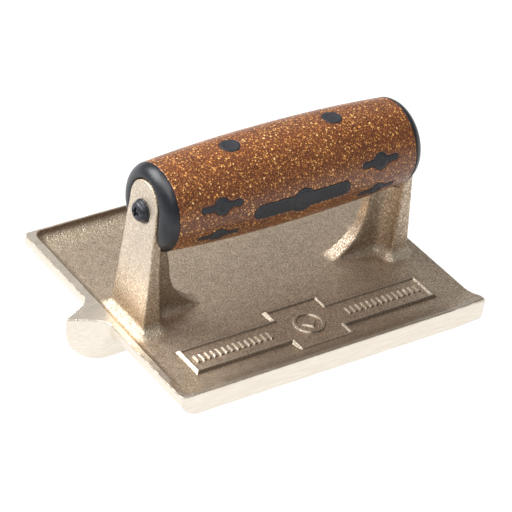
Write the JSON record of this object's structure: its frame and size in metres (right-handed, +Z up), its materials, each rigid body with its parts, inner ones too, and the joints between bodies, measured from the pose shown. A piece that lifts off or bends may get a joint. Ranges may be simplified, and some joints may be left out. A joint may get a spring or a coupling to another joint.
{
  "type": "concrete hand groover",
  "caption": "Cast bronze hand groover for concrete joints: dished plate with a pointed bit below and a crowned grip screwed between two posts.",
  "frame": {"origin": "bottom centre of the tool's box, on the lowest line of the bit, with the plate level", "axes": "+X along the grip from the pointed toe to the square heel, +Y across the plate away from the raised panel, +Z up"},
  "size_m": [0.1524, 0.1142, 0.0859],
  "materials": {
    "cast_bronze": "sand-cast bronze, with the ends, front, sole and bit ground bright",
    "speckled_composite": "satin, dark red-brown with orange and straw flecks",
    "core_plastic": "moulded black",
    "inlay_plastic": "satin black, fine texture",
    "cap_rubber": "satin black moulded",
    "black_steel": "black oxide",
    "insert_brass": "turned"
  },
  "bodies": {
    "tool": {"groover_body": "cast_bronze", "handle_core": "core_plastic", "grip_sleeve": "speckled_composite", "top_dot_left": "inlay_plastic", "top_dot_right": "inlay_plastic", "upper_badge_front_left": "inlay_plastic", "upper_badge_front_right": "inlay_plastic", "upper_badge_rear_left": "inlay_plastic", "upper_badge_rear_right": "inlay_plastic", "lower_badge_front_left": "inlay_plastic", "lower_badge_front_right": "inlay_plastic", "lower_badge_rear_left": "inlay_plastic", "lower_badge_rear_right": "inlay_plastic", "label_inlay_front": "inlay_plastic", "label_inlay_rear": "inlay_plastic", "end_cap_left": "cap_rubber", "end_cap_right": "cap_rubber", "threaded_insert_left": "insert_brass", "threaded_insert_right": "insert_brass"},
    "left_washer": {"screw_washer_left": "black_steel"},
    "left_screw": {"handle_screw_left": "black_steel"},
    "right_washer": {"screw_washer_right": "black_steel"},
    "right_screw": {"handle_screw_right": "black_steel"}
  },
  "joints": [
    {"name": "left_screw_travel", "type": "slide", "parent": "tool", "child": "left_washer", "axis": [-1, 0, 0], "range_m": [0, 0.0127]},
    {"name": "left_screw_turn", "type": "hinge", "parent": "left_washer", "child": "left_screw", "pos_m": [-0.0521, -0.0034, 0.067], "axis": [-1, 0, 0], "range_deg": [0, 4320]},
    {"name": "right_screw_travel", "type": "slide", "parent": "tool", "child": "right_washer", "axis": [1, 0, 0], "range_m": [0, 0.0127]},
    {"name": "right_screw_turn", "type": "hinge", "parent": "right_washer", "child": "right_screw", "pos_m": [0.0679, -0.0034, 0.067], "axis": [1, 0, 0], "range_deg": [0, 4320]}
  ],
  "couplings": [
    {"joint": "left_screw_turn", "follows": "left_screw_travel", "rad_per_m": 5937},
    {"joint": "right_screw_turn", "follows": "right_screw_travel", "rad_per_m": 5937}
  ]
}
